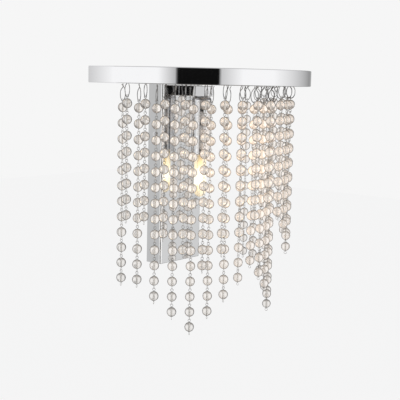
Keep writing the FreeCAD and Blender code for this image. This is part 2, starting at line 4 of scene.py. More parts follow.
import bmesh
import bpy
from mathutils import Matrix, Vector


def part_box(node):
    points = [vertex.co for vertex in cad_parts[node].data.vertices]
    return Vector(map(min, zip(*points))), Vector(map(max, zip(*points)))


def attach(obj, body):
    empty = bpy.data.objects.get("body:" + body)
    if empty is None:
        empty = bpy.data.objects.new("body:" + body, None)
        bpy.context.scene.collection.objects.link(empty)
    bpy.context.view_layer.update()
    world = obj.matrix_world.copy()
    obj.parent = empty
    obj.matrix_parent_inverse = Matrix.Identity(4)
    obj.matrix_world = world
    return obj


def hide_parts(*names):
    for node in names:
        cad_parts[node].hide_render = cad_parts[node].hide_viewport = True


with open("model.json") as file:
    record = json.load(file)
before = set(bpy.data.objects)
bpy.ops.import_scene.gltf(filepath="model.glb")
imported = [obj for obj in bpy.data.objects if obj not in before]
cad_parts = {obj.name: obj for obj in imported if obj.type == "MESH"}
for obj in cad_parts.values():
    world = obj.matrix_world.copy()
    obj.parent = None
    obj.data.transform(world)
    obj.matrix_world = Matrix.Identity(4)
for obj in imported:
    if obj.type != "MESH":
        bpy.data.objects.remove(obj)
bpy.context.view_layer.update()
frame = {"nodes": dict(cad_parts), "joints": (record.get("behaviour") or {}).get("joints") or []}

# Looks of a wall sconce: a polished half-round band, a mirror-bright wall cover, one lit
# capsule lamp in a chrome cup, and two rows of clear glass beads on wire.
# Metres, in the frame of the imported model: +Z up, the front faces -Y, the wall is y = 0.

MM = 0.001

# --- sizes that the looks share with the model ------------------------------------------
BAND_RADIUS = 152 * MM
BAND_LEG = 43 * MM
BAND_WALL = 1.5 * MM
BAND_CORNER = 3 * MM
BAND_EDGE = 1.4 * MM
BAND_RETURN = 18 * MM           # end of each leg, turned in along the wall
WALL_GAP = 1 * MM
COVER_WALL = 1.2 * MM
COVER_CORNER = 3 * MM
COVER_RIM = 0.8 * MM            # rounding of the cover's top and bottom edges
ARM_EDGE = 0.7 * MM
SCREW_SPREAD = 22 * MM          # from the middle to each screw on the sheet over the hooks
BEAD_DIAMETER = 12 * MM
BEAD_PITCH = 19.2 * MM
BORE_RADIUS = 0.7 * MM
BORE_LENGTH = 11.3 * MM
EYE_DROP = 8.4 * MM             # from a bead's middle to the middle of its wire eyes
EYE_SIZE = 2.1 * MM             # from an eye's middle to the end of its box in the model
EYE_RADIUS = 1.72 * MM
EYE_WIRE = 0.27 * MM
PIN_WIRE = 0.34 * MM
HOOK_WIRE = 0.48 * MM
HOOK_TURN = math.radians(92)    # a hook's loop stands square to its row
HOOK_TAIL_RISE = 0.6 * MM       # middle of a hook's tail above the sheet that it lies on
HOOKS_IN_ROW = 17
# Each row of hooks: radius and middle of its arc, and degrees from hook to hook.
HOOK_ROWS = {"outer": (143 * MM, -23.5 * MM, 9.6), "inner": (128.5 * MM, -13 * MM, 9.95)}
BAND_LOW, BAND_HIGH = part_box("canopy_band")
COVER_LOW, COVER_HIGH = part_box("back_cover")
ARM_LOW, ARM_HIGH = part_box("lamp_arm")
CUP_LOW, CUP_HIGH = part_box("lamp_cup")
GLASS_LOW, GLASS_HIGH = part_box("bulb_glass")
PLATE_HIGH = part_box("hook_plate")[1]
CUP_AXIS = Vector(((CUP_LOW.x + CUP_HIGH.x) / 2, (CUP_LOW.y + CUP_HIGH.y) / 2, 0))


# --- node trees written as sums ----------------------------------------------------------
class Value:
    """One output of a node. Sums and products on it add Math nodes."""

    def __init__(self, graph, socket):
        self.graph = graph
        self.socket = socket

    def math(self, operation, first, second=0.0):
        return self.graph.add("ShaderNodeMath", {"operation": operation}, {0: first, 1: second})

    def __add__(self, other):
        return self.math("ADD", self, other)

    __radd__ = __add__

    def __sub__(self, other):
        return self.math("SUBTRACT", self, other)

    def __rsub__(self, other):
        return self.math("SUBTRACT", other, self)

    def __mul__(self, other):
        return self.math("MULTIPLY", self, other)

    __rmul__ = __mul__

    def __truediv__(self, other):
        return self.math("DIVIDE", self, other)

    def clipped(self):
        """The value, kept between 0 and 1."""
        return self.math("MINIMUM", self.math("MAXIMUM", self, 0.0), 1.0)

    def beside(self, name):
        """Another output of the same node."""
        return Value(self.graph, self.socket.node.outputs[name])


class Graph:
    """A node tree that is emptied and then filled through one method."""

    def __init__(self, tree):
        self.tree = tree
        tree.nodes.clear()

    def add(self, kind, settings=None, inputs=None, output=0):
        node = self.tree.nodes.new(kind)
        for name, setting in (settings or {}).items():
            if name == "stops":
                self.set_stops(node.color_ramp, setting)
            else:
                setattr(node, name, setting)
        for key, given in (inputs or {}).items():
            socket = node.inputs[key]
            for one in given if isinstance(given, list) else [given]:
                if isinstance(one, Value):
                    self.tree.links.new(one.socket, socket)
                else:
                    socket.default_value = one
        return Value(self, node.outputs[output]) if len(node.outputs) else None

    @staticmethod
    def set_stops(ramp, stops):
        while len(ramp.elements) < len(stops):
            ramp.elements.new(1.0)
        for element, (place, colour) in zip(ramp.elements, stops):
            element.position = place
            element.color = colour if isinstance(colour, tuple) else (colour, colour, colour, 1)

    def mix(self, factor, first, second):
        """Colour between two colours."""
        return self.add("ShaderNodeMix", {"data_type": "RGBA"}, {0: factor, 6: first, 7: second}, 2)

    def noise(self, place, scale, detail=2.0):
        return self.add("ShaderNodeTexNoise", {}, {"Vector": place, "Scale": scale, "Detail": detail})

    def stretched(self, place, factors):
        return self.add("ShaderNodeMapping", {}, {"Vector": place, "Scale": factors})


def rgb(red, green, blue):
    return (red, green, blue, 1.0)


# --- finishes ---------------------------------------------------------------------------
def finish(name, build):
    """A material from a function that builds its shader on Object coordinates."""
    material = bpy.data.materials.new(name)
    material.use_nodes = True
    graph = Graph(material.node_tree)
    place = graph.add("ShaderNodeTexCoord", output="Object")
    graph.add("ShaderNodeOutputMaterial", {}, {"Surface": build(graph, place)})
    return material


def metal(name, tone, shade, low, high, cloud=35.0, grain=(1, 1, 1), depth=0.00002, painted_highlight=None):
    """Metal whose tone, gloss and surface wander a little. grain stretches the wander, and
    the last argument says where a highlight is painted, turning the colour to white."""
    def build(graph, place):
        along = graph.stretched(place, grain)
        clouds = graph.noise(along, cloud, 3.0)
        fine = graph.noise(along, cloud * 14, 2.0)
        rough = low + (high - low) * (clouds * 0.6 + fine * 0.4)
        bump = graph.add("ShaderNodeBump", {}, {"Height": fine * 0.5 + clouds, "Strength": 0.12,
                                                "Distance": depth})
        colour = graph.mix(clouds, tone, shade)
        # Painted highlight: the colour turns white where the mask is full.
        if painted_highlight:
            colour = graph.mix(painted_highlight(graph, place), colour, rgb(1, 1, 1))
        return graph.add("ShaderNodeBsdfPrincipled", {}, {
            "Base Color": colour, "Metallic": 1.0, "Roughness": rough, "Normal": bump})
    return finish(name, build)


def tray_corner_highlight(graph, place):
    """Where a highlight is painted on the wall cover's rounded front corners, full over the bend and nothing
    beside it.
    """
    steep = 1 / (0.5 * MM)
    x = graph.add("ShaderNodeSeparateXYZ", {}, {"Vector": place})
    side = (x.math("ABSOLUTE", x) - COVER_HIGH.x + COVER_CORNER) * steep
    front = (COVER_LOW.y + COVER_CORNER - x.beside("Y")) * steep
    return side.clipped() * front.clipped()


def moulded(name, tone, shade, roughness, grain=900.0, depth=0.00005):
    """Plastic, rubber or unglazed ceramic with a fine skin."""
    def build(graph, place):
        skin = graph.noise(place, grain, 3.0)
        clouds = graph.noise(place, 60.0, 2.0)
        bump = graph.add("ShaderNodeBump", {}, {"Height": skin, "Strength": 0.3, "Distance": depth})
        return graph.add("ShaderNodeBsdfPrincipled", {}, {
            "Base Color": graph.mix(clouds, tone, shade), "Roughness": roughness + 0.1 * skin,
            "Normal": bump})
    return finish(name, build)


def clear_glass(name, tone, shade, index, rim=None, glow=None, painted_warmth=0.0, haze=0.01):
    """Clear glass with faint drawn streaks. rim gives the colour of a dark outline painted over its edge
    as painted shade, and glow the light inside it. drift carries its tone over to its shade from the left
    side to the right, as painted warm lamplight that is strongest on the right."""
    def build(graph, place):
        streaks = graph.noise(graph.stretched(place, (1, 1, 0.3)), 240.0, 2.0)
        # Painted warm lamplight: the colour turns towards its warmer shade from the left side to the right.
        side = graph.add("ShaderNodeSeparateXYZ", {}, {"Vector": place}) * 7 + 0.85
        blend = streaks * (1 - painted_warmth) + side.clipped() * painted_warmth
        inputs = {"Base Color": graph.mix(blend, tone, shade), "Roughness": haze + 0.04 * streaks,
                  "IOR": index, "Transmission Weight": 1.0}
        if glow:
            inputs["Emission Color"] = glow(graph, place)
            inputs["Emission Strength"] = 1.0
        glass = graph.add("ShaderNodeBsdfPrincipled", {}, inputs)
        if not rim:
            return glass
        # Painted shade: where the bead's face turns away, an opaque dark layer covers the glass as its
        # outline.
        facing = graph.add("ShaderNodeLayerWeight", {}, {"Blend": 0.5}, "Facing")
        inside = graph.add("ShaderNodeNewGeometry", output="Backfacing")
        edge = graph.add("ShaderNodeValToRGB", {"stops": [
            (0.4, 0.0), (0.5, 0.22), (0.62, 0.65), (0.78, 0.9)]}, {"Fac": facing * (1 - inside)})
        painted_outline = graph.add("ShaderNodeBsdfPrincipled", {}, {"Base Color": rim(graph, place), "Roughness": 0.2})
        return graph.add("ShaderNodeMixShader", {}, {0: edge, 1: glass, 2: painted_outline})
    return finish(name, build)


def heat(graph, place, middle, reach, stops):
    """Colour of a glow by height, from its middle to its ends."""
    height = graph.add("ShaderNodeSeparateXYZ", {}, {"Vector": place}).beside("Z")
    away = height.math("ABSOLUTE", height - middle) / reach + 0.08 * graph.noise(place, 300.0, 1.0)
    return graph.add("ShaderNodeValToRGB", {"stops": stops}, {"Fac": away})


def shell_heat(graph, place):
    """Glow of the capsule's shell."""
    return heat(graph, place, -0.056, 0.03, [
        (0.25, rgb(0.26, 0.235, 0.18)), (0.5, rgb(0.17, 0.135, 0.07)), (1.0, rgb(0.03, 0.02, 0.008))])


def core_heat(graph, place):
    """Glow of the lamp's core."""
    return heat(graph, place, -0.054, 0.025, [
        (0.3, rgb(1, 0.97, 0.93)), (0.65, rgb(0.6, 0.45, 0.2)), (1.0, rgb(0.2, 0.12, 0.04))])


def lamp_distance(graph, place):
    """Distance from just in front of the lamp, in fifths of a metre; up and down it counts less."""
    upright = 0.68
    away = graph.add("ShaderNodeVectorMath", {"operation": "DISTANCE"},
                     {0: graph.stretched(place, (1, 1, upright)), 1: (0.0, -0.07, -0.02)}, "Value")
    return away * 5


def lamplight(graph, place):
    """Warm light that a bead catches near the lamp."""
    stops = [(0.26, rgb(0.42, 0.3, 0.2)), (0.48, rgb(0.106, 0.087, 0.07)), (0.8, rgb(0.008, 0.007, 0.006))]
    return graph.add("ShaderNodeValToRGB", {"stops": stops}, {"Fac": lamp_distance(graph, place)})


def painted_bead_outline(graph, place):
    """Colour of a bead's painted dark outline, shade painted over its edge: paler where the lamp lights it,
    as painted lamplight.
    """
    stops = [(0.35, rgb(0.3, 0.25, 0.21)), (0.9, rgb(0.07, 0.065, 0.06))]
    return graph.add("ShaderNodeValToRGB", {"stops": stops}, {"Fac": lamp_distance(graph, place)})


def lit(name, strength, glow):
    """Glowing core of the lamp."""
    def build(graph, place):
        return graph.add("ShaderNodeBsdfPrincipled", {}, {
            "Base Color": rgb(1, 0.95, 0.85), "Roughness": 0.4,
            "Emission Color": glow(graph, place), "Emission Strength": strength})
    return finish(name, build)


CHROME = metal("polished_chrome", rgb(0.93, 0.93, 0.94), rgb(0.9, 0.9, 0.915), 0.02, 0.05)
# The cover's chrome is a darker copy of the band's: painted shade on its faces, with a painted highlight over
# its rounded front corners.
SHADED_TRAY_CHROME = metal("tray_chrome_painted_shade", rgb(0.76, 0.765, 0.77), rgb(0.72, 0.725, 0.73), 0.02, 0.05, 25.0,
                    painted_highlight=tray_corner_highlight)
WIRE = metal("bright_wire", rgb(0.9, 0.89, 0.87), rgb(0.76, 0.75, 0.73), 0.12, 0.25, 300.0)
HOOK_STEEL = metal("hook_wire", rgb(0.5, 0.49, 0.48), rgb(0.3, 0.295, 0.29), 0.1, 0.2, 300.0)
ZINC = metal("zinc_plate", rgb(0.66, 0.67, 0.69), rgb(0.52, 0.53, 0.55), 0.25, 0.45, 80.0, (1, 1, 0.15))
BRIGHT_STEEL = metal("bright_steel", rgb(0.5, 0.5, 0.5), rgb(0.42, 0.42, 0.43), 0.06, 0.14, 60.0,
                     (0.12, 1, 1))
BRASS = metal("turned_brass", rgb(0.8, 0.62, 0.3), rgb(0.66, 0.48, 0.2), 0.2, 0.35, 200.0)
CERAMIC = moulded("white_ceramic", rgb(0.86, 0.85, 0.81), rgb(0.8, 0.79, 0.75), 0.45)
PALE_PLASTIC = moulded("pale_plastic", rgb(0.82, 0.82, 0.8), rgb(0.76, 0.76, 0.74), 0.4)
RUBBER = moulded("black_rubber", rgb(0.02, 0.02, 0.02), rgb(0.04, 0.04, 0.04), 0.6)
SLEEVE = moulded("lead_sleeve", rgb(0.85, 0.85, 0.83), rgb(0.78, 0.78, 0.76), 0.5, 1500.0)
BEAD_GLASS = clear_glass("bead_glass", rgb(1, 0.985, 0.965), rgb(1, 0.965, 0.935), 1.55,
                         rim=painted_bead_outline, glow=lamplight, painted_warmth=0.6, haze=0.1)
BULB_GLASS = clear_glass("capsule_glass", rgb(1, 0.97, 0.9), rgb(1, 0.95, 0.86), 1.15, glow=shell_heat)
CORE_LIGHT = lit("lamp_core", 0.9, core_heat)

CAD_FINISHES = {
    "wall_bracket": ZINC, "cable_grommet": RUBBER, "earth_screw": BRASS, "terminal_block": PALE_PLASTIC,
    "terminal_screws": ZINC, "hook_plate": BRIGHT_STEEL, "canopy_nuts": ZINC, "arm_nipple": BRASS,
    "nipple_nuts": BRASS, "cup_nipple": BRASS, "holder_bracket": ZINC, "holder_rivets": ZINC,
    "lampholder": CERAMIC, "bulb_base": CERAMIC, "bulb_core": CORE_LIGHT, "lamp_leads": SLEEVE,
}


# --- making pieces ----------------------------------------------------------------------
def piece_from(name, points, faces, edges=()):
    """A new object from points, in metres in the model's frame."""
    mesh = bpy.data.meshes.new(name)
    mesh.from_pydata([tuple(p) for p in points], list(edges), faces)
    piece = bpy.data.objects.new(name, mesh)
    bpy.context.scene.collection.objects.link(piece)
    return piece


def face_outwards(mesh):
    """Turns the faces of closed shapes outwards."""
    work = bmesh.new()
    work.from_mesh(mesh)
    bmesh.ops.recalc_face_normals(work, faces=work.faces)
    work.to_mesh(mesh)
    work.free()


def plain(piece):
    """Turns what the piece's modifiers make into its own mesh."""
    settled = bpy.context.evaluated_depsgraph_get()
    mesh = bpy.data.meshes.new_from_object(piece.evaluated_get(settled), depsgraph=settled)
    piece.modifiers.clear()
    piece.data = mesh
    return piece


def merge(piece):
    """Joins doubled points and turns the faces outwards."""
    work = bmesh.new()
    work.from_mesh(piece.data)
    bmesh.ops.remove_doubles(work, verts=work.verts, dist=1e-6)
    bmesh.ops.recalc_face_normals(work, faces=work.faces)
    work.to_mesh(piece.data)
    work.free()


def grown(piece, tree, sizes):
    """Runs a tree of geometry nodes on a piece, with its named sizes, and keeps a plain mesh."""
    growth = piece.modifiers.new("growth", "NODES")
    growth.node_group = tree
    for item in tree.interface.items_tree:
        if item.name in sizes:
            growth[item.identifier] = sizes[item.name]
    face_outwards(plain(piece).data)
    return piece


def new_tree(name, sizes):
    """A tree of geometry nodes with named inputs, its graph and its input node."""
    tree = bpy.data.node_groups.new(name, "GeometryNodeTree")
    tree.interface.new_socket("Geometry", in_out="INPUT", socket_type="NodeSocketGeometry")
    for size, kind in sizes.items():
        tree.interface.new_socket(size, in_out="INPUT", socket_type="NodeSocket" + kind)
    tree.interface.new_socket("Geometry", in_out="OUTPUT", socket_type="NodeSocketGeometry")
    graph = Graph(tree)
    return tree, graph, graph.add("NodeGroupInput")


def smooth(graph, geometry):
    return graph.add("GeometryNodeSetShadeSmooth", {}, {"Geometry": geometry})


def finished(graph, geometry, material):
    """The end of a branch: plain geometry in one finish."""
    real = graph.add("GeometryNodeRealizeInstances", {}, {"Geometry": geometry})
    return graph.add("GeometryNodeSetMaterial", {}, {"Geometry": real, "Material": material})


def moved(graph, geometry, shift=(0, 0, 0), turn=(0, 0, 0)):
    return graph.add("GeometryNodeTransform", {}, {"Geometry": geometry, "Translation": shift,
                                                   "Rotation": turn})


def settle(piece, slot, *nodes, body="fixture", even=False):
    """Shades a finished piece, hangs it on its body and lets it stand for its nodes."""
    for face in piece.data.polygons:
        face.use_smooth = True
    if even:
        piece.data.set_sharp_from_angle(angle=math.radians(40))
        shine = piece.modifiers.new("even_shine", "WEIGHTED_NORMAL")
        shine.keep_sharp = True
        shine.weight = 80
    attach(piece, body)
    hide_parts(*nodes)


# --- band -------------------------------------------------------------------------------
def strip_tree():
    """A flat strip on edge that follows the piece's line of points."""
    tree, graph, given = new_tree("strip_along_line", {"Wall": "Float", "Height": "Float",
                                                       "Edge": "Float"})
    line = graph.add("GeometryNodeMeshToCurve", {}, {"Mesh": given})
    line = graph.add("GeometryNodeSetCurveNormal", {"mode": "Z_UP"}, {"Curve": line})
    section = graph.add("GeometryNodeCurvePrimitiveQuadrilateral", {}, {
        "Width": given.beside("Wall") * 2, "Height": given.beside("Height")})
    section = graph.add("GeometryNodeFilletCurve", {"mode": "POLY"}, {
        "Curve": section, "Radius": given.beside("Edge"), "Count": 4})
    section = graph.add("GeometryNodeTransform", {}, {"Geometry": section, "Scale": (0.5, 1, 1)})
    strip = graph.add("GeometryNodeCurveToMesh", {}, {"Curve": line, "Profile Curve": section,
                                                      "Fill Caps": True})
    graph.add("NodeGroupOutput", {}, {0: finished(graph, strip, CHROME)})
    return tree


def make_band():
    """Turned-in end, round corner, leg and half round, to the middle, then the same mirrored."""
    corner_steps, leg_steps, arc_steps = 12, 4, 72
    radius = BAND_RADIUS - BAND_WALL / 2
    corner = BAND_CORNER - BAND_WALL / 2
    rear = -WALL_GAP - BAND_WALL / 2
    middle = (BAND_LOW.z + BAND_HIGH.z) / 2
    line = [Vector((-radius + reach, rear, middle)) for reach in (BAND_RETURN - BAND_WALL / 2, 13 * MM)]
    for k in range(corner_steps + 1):
        turn = math.radians(90 * k / corner_steps)
        line.append(Vector((-radius + corner - corner * math.sin(turn),
                            rear - corner + corner * math.cos(turn), middle)))
    for k in range(1, leg_steps):
        line.append(Vector((-radius, rear - corner - (BAND_LEG + rear - corner) * k / leg_steps, middle)))
    for k in range(arc_steps):
        turn = math.pi / 2 * (k / arc_steps - 1)
        line.append(Vector((radius * math.sin(turn), -BAND_LEG - radius * math.cos(turn), middle)))
    mirrored = [Vector((-p.x, p.y, p.z)) for p in line[::-1]]
    line = line + [Vector((0, -BAND_LEG - radius, middle))] + mirrored
    piece = piece_from("canopy_band_strip", line, [], [(k, k + 1) for k in range(len(line) - 1)])
    grown(piece, strip_tree(), {"Wall": BAND_WALL, "Height": BAND_HIGH.z - BAND_LOW.z,
                                 "Edge": BAND_EDGE})
    settle(piece, "chrome", "canopy_band", even=True)


# --- wall cover, arm and cup --------------------------------------------------------------
def rounded_plan(half_width, front, corner, back, steps):
    """Left back, round the two front corners, to right back."""
    plan = [Vector((-half_width, back, 0))]
    for side in (-1, 1):
        for k in range(steps + 1):
            turn = math.radians(90 * (k / steps if side < 0 else 1 - k / steps))
            plan.append(Vector((side * (half_width - corner + corner * math.cos(turn)),
                                front + corner - corner * math.sin(turn), 0)))
    plan.append(Vector((half_width, back, 0)))
    return plan


def make_cover():
    """Tray with its back open to the wall, drawn as its outside and then given its wall."""
    plan = rounded_plan(COVER_HIGH.x, COVER_LOW.y, COVER_CORNER, COVER_HIGH.y, 8)
    count = len(plan)
    levels = (COVER_LOW.z, COVER_HIGH.z)
    points = [p + Vector((0, 0, z)) for z in levels for p in plan]
    faces = [(k, k + 1, count + k + 1, count + k) for k in range(count - 1)]
    faces += [tuple(range(count)), tuple(range(count, 2 * count))]
    piece = piece_from("cover_tray", points, faces)
    face_outwards(piece.data)
    work = bmesh.new()
    work.from_mesh(piece.data)
    centre = Vector((0, (COVER_LOW.y + COVER_HIGH.y) / 2, (COVER_LOW.z + COVER_HIGH.z) / 2))
    for face in work.faces:
        if (face.calc_center_median() - centre).dot(face.normal) < 0:
            face.normal_flip()
    sharp = 1.2     # radians
    rims = [e for e in work.edges if len(e.link_faces) == 2 and e.calc_face_angle(0) > sharp
            and abs(e.verts[0].co.z - e.verts[1].co.z) < 1e-6]
    bmesh.ops.bevel(work, geom=rims, offset=COVER_RIM, segments=3, affect="EDGES", profile=0.5)
    work.to_mesh(piece.data)
    work.free()
    wall = piece.modifiers.new("wall", "SOLIDIFY")
    wall.thickness = COVER_WALL
    wall.offset = -1
    wall.use_even_offset = True
    plain(piece).data.materials.append(SHADED_TRAY_CHROME)
    settle(piece, "chrome", "back_cover", even=True)


def make_arm():
    """Square-ended bar over the lamp cup, with its edges softened."""
    corners = [Vector((x, y, z)) for z in (ARM_LOW.z, ARM_HIGH.z)
               for x, y in ((ARM_LOW.x, ARM_LOW.y), (ARM_HIGH.x, ARM_LOW.y),
                            (ARM_HIGH.x, ARM_HIGH.y), (ARM_LOW.x, ARM_HIGH.y))]
    faces = [(3, 2, 1, 0), (4, 5, 6, 7)] + [(k, (k + 1) % 4, 4 + (k + 1) % 4, 4 + k) for k in range(4)]
    piece = piece_from("lamp_arm_bar", corners, faces)
    face_outwards(piece.data)
    edge = piece.modifiers.new("edge", "BEVEL")
    edge.width = ARM_EDGE
    edge.segments = 3
    plain(piece).data.materials.append(CHROME)
    settle(piece, "chrome", "lamp_arm", even=True)


def turned(name, profile, centre, steps):
    """Body of revolution from (radius, height) points; a radius of 0 closes it."""
    points = []
    rings = []
    for radius, height in profile:
        if radius < 1e-7:
            rings.append([len(points)] * steps)
            points.append(centre + Vector((0, 0, height)))
        else:
            rings.append(list(range(len(points), len(points) + steps)))
            points += [centre + Vector((radius * math.cos(2 * math.pi * k / steps),
                                        radius * math.sin(2 * math.pi * k / steps), height))
                       for k in range(steps)]
    faces = []
    for lower, upper in zip(rings, rings[1:]):
        for k in range(steps):
            corners = (lower[k], lower[(k + 1) % steps], upper[(k + 1) % steps], upper[k])
            faces.append(tuple(dict.fromkeys(corners)))
    piece = piece_from(name, points, faces)
    face_outwards(piece.data)
    return piece


def bend(centre_r, centre_z, radius, start, end, steps):
    """Points of an arc in a profile, angles in degrees."""
    return [(centre_r + radius * math.cos(math.radians(start + (end - start) * k / steps)),
             centre_z + radius * math.sin(math.radians(start + (end - start) * k / steps)))
            for k in range(steps + 1)]


def make_cup():
    """Round sleeve, open below, with a rounded shoulder and the tube's hole in its top."""
    outside = 13 * MM
    wall = 1 * MM
    shoulder = 5 * MM
    lip = 0.3 * MM
    hole = 3.2 * MM
    top, rim = CUP_HIGH.z, CUP_LOW.z
    profile = [(hole, top)] + bend(outside - shoulder, top - shoulder, shoulder, 90, 0, 8)
    profile += [(outside, rim + lip), (outside - lip, rim), (outside - wall + lip, rim)]
    profile += [(outside - wall, rim + lip)]
    profile += bend(outside - shoulder, top - shoulder, shoulder - wall, 0, 90, 6)
    profile += [(hole, top - wall), (hole, top)]
    piece = turned("lamp_cup_sleeve", profile, CUP_AXIS, 64)
    merge(piece)
    piece.data.materials.append(CHROME)
    settle(piece, "chrome", "lamp_cup", even=True)


def make_bulb():
    """Clear capsule with a pinched neck and a round end, hollow."""
    outside = 8 * MM
    wall = 0.8 * MM
    waist = 7.2 * MM
    top, end = GLASS_HIGH.z, GLASS_LOW.z
    neck, shoulder = top - 4 * MM, top - 7 * MM
    profile = [(waist, top), (waist, neck), (outside, shoulder)]
    profile += bend(0, end + outside, outside, 0, -90, 10)
    profile += bend(0, end + outside, outside - wall, -90, 0, 10)
    profile += [(outside - wall, shoulder), (waist - wall, neck), (waist - wall, top)]
    profile += [(waist, top)]
    piece = turned("capsule_shell", profile, CUP_AXIS, 40)
    merge(piece)
    piece.data.materials.append(BULB_GLASS)
    settle(piece, "bulb_shell", "bulb_glass")


# --- screws -----------------------------------------------------------------------------
def pair_tree():
    """The piece twice, facing out to both sides."""
    tree, graph, given = new_tree("pair_of_screws", {"Reach": "Float", "Depth": "Float", "Height": "Float"})
    pair = []
    for side, turn in ((1, 0.0), (-1, math.pi)):
        shift = graph.add("ShaderNodeCombineXYZ", {}, {
            "X": given.beside("Reach") * side, "Y": given.beside("Depth"), "Z": given.beside("Height")})
        pair.append(moved(graph, given, shift, (0, 0, turn)))
    both = graph.add("GeometryNodeJoinGeometry", {}, {"Geometry": pair[::-1]})
    graph.add("NodeGroupOutput", {}, {0: finished(graph, both, CHROME)})
    return tree


def screw_pattern(name, upright):
    """Domed head on its shank, pointing to +X or up, with a cross recess."""
    radius, height = 3.6 * MM, 2.6 * MM
    shank, length = 1.9 * MM, 6 * MM
    recess = 1.3 * MM
    profile = [(0, -length), (shank, -length), (shank, 0), (radius, 0), (radius, 0.9 * MM)]
    profile += [(radius * 0.93, 1.5 * MM), (radius * 0.76, 2.1 * MM), (radius * 0.5, 2.45 * MM)]
    profile += [(recess, height), (0.9 * MM, height - 0.2 * MM), (0.3 * MM, height - 1.2 * MM)]
    profile += [(0, height - 1.4 * MM)]
    piece = turned(name, profile, Vector((0, 0, 0)), 24)
    work = bmesh.new()
    work.from_mesh(piece.data)
    for vert in work.verts:
        spoke = math.hypot(vert.co.x, vert.co.y)
        if 0.2 * MM < spoke < recess + 0.05 * MM and vert.co.z > 1 * MM:
            turn = math.atan2(vert.co.y, vert.co.x)
            reach = 1 + 0.55 * math.cos(4 * turn)
            vert.co.x *= reach
            vert.co.y *= reach
    if not upright:
        work.transform(Matrix.Rotation(math.pi / 2, 4, "Y"))
    work.to_mesh(piece.data)
    work.free()
    return piece


def make_screws():
    """The two side screws of the cover, and the two that hold the sheet over the hooks."""
    tree = pair_tree()
    side = grown(screw_pattern("cover_screw_heads", False), tree,
                 {"Reach": COVER_HIGH.x, "Depth": (COVER_LOW.y + COVER_HIGH.y) / 2, "Height": 0.0})
    settle(side, "chrome", "cover_screws", even=True)
    top = grown(screw_pattern("canopy_screw_heads", True), tree,
                {"Reach": SCREW_SPREAD, "Depth": (COVER_LOW.y + COVER_HIGH.y) / 2, "Height": PLATE_HIGH.z})
    settle(top, "steel", "canopy_screws", even=True)


# --- bead strings -------------------------------------------------------------------------
def string_tree():
    """The piece, a bead, one under another. Each has a pale bore lining and a pin with an eye at each
    end, and the eyes link."""
    sizes = {"Beads": "Int", "Pitch": "Float", "Eye drop": "Float", "Eye radius": "Float",
             "Eye wire": "Float", "Pin wire": "Float", "Bore": "Float", "Bore length": "Float",
             "Place": "Vector", "Turn": "Vector"}
    tree, graph, given = new_tree("bead_string", sizes)
    pitch = graph.add("ShaderNodeCombineXYZ", {}, {"Z": 0 - given.beside("Pitch")})
    first = graph.add("ShaderNodeCombineXYZ", {}, {"Z": 0 - given.beside("Eye drop")})
    drops = graph.add("GeometryNodeMeshLine", {"mode": "OFFSET"}, {
        "Count": given.beside("Beads"), "Start Location": first, "Offset": pitch})
    pin = graph.add("GeometryNodeMeshCylinder", {}, {
        "Vertices": 6, "Radius": given.beside("Pin wire"),
        "Depth": 2 * (given.beside("Eye drop") - given.beside("Eye radius"))})
    ring = graph.add("GeometryNodeCurvePrimitiveCircle", {}, {
        "Resolution": 10, "Radius": given.beside("Eye radius")})
    wire = graph.add("GeometryNodeCurvePrimitiveCircle", {}, {
        "Resolution": 5, "Radius": given.beside("Eye wire")})
    eye = graph.add("GeometryNodeCurveToMesh", {}, {"Curve": ring, "Profile Curve": wire})
    up = graph.add("ShaderNodeCombineXYZ", {}, {"Z": given.beside("Eye drop")})
    down = graph.add("ShaderNodeCombineXYZ", {}, {"Z": 0 - given.beside("Eye drop")})
    upper = moved(graph, eye, up, (math.pi / 2, 0, HOOK_TURN - math.pi / 2))
    lower = moved(graph, eye, down, (0, math.pi / 2, 0))
    bore = graph.add("GeometryNodeMeshCylinder", {}, {
        "Vertices": 6, "Radius": given.beside("Bore"), "Depth": given.beside("Bore length")})
    # Pin and eyes are one wire in two copies: the pin and its upper eye take the darker hook wire, painted
    # shade above each bead, and the lower eye the bright wire, a painted highlight below it. The bore lining
    # takes the bright wire too.
    dark = graph.add("GeometryNodeJoinGeometry", {}, {"Geometry": [pin, upper]})
    pale = graph.add("GeometryNodeJoinGeometry", {}, {"Geometry": [bore, lower]})
    branches = []
    for pattern, material in ((given, BEAD_GLASS), (dark, HOOK_STEEL), (pale, WIRE)):
        row = graph.add("GeometryNodeInstanceOnPoints", {}, {
            "Points": drops, "Instance": smooth(graph, pattern)})
        hung = moved(graph, row, given.beside("Place"), given.beside("Turn"))
        branches.append(finished(graph, hung, material))
    both = graph.add("GeometryNodeJoinGeometry", {}, {"Geometry": branches[::-1]})
    graph.add("NodeGroupOutput", {}, {0: both})
    return tree


def make_strings():
    """One string under each hinge, with as many beads as the model's string has."""
    tree = string_tree()
    half_round = bend(0, 0, BEAD_DIAMETER / 2, -90, 90, 8)
    for joint in frame["joints"]:
        body = joint["child"]
        axis = Vector(joint["axis"]) * (-1 if body.startswith("outer") else 1)
        node = "bead_string_" + body
        low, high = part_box(node)
        beads = round((high.z - low.z - 2 * (EYE_DROP + EYE_SIZE)) / BEAD_PITCH) + 1
        piece = turned("beads_" + body, half_round, Vector((0, 0, 0)), 12)
        grown(piece, tree, {
            "Beads": beads, "Pitch": BEAD_PITCH, "Eye drop": EYE_DROP,
            "Eye radius": EYE_RADIUS, "Eye wire": EYE_WIRE, "Pin wire": PIN_WIRE,
            "Bore": BORE_RADIUS, "Bore length": BORE_LENGTH,
            "Place": tuple(joint["pos_m"]), "Turn": (0.0, 0.0, math.atan2(axis.y, axis.x))})
        settle(piece, "crystal", node, body=body)


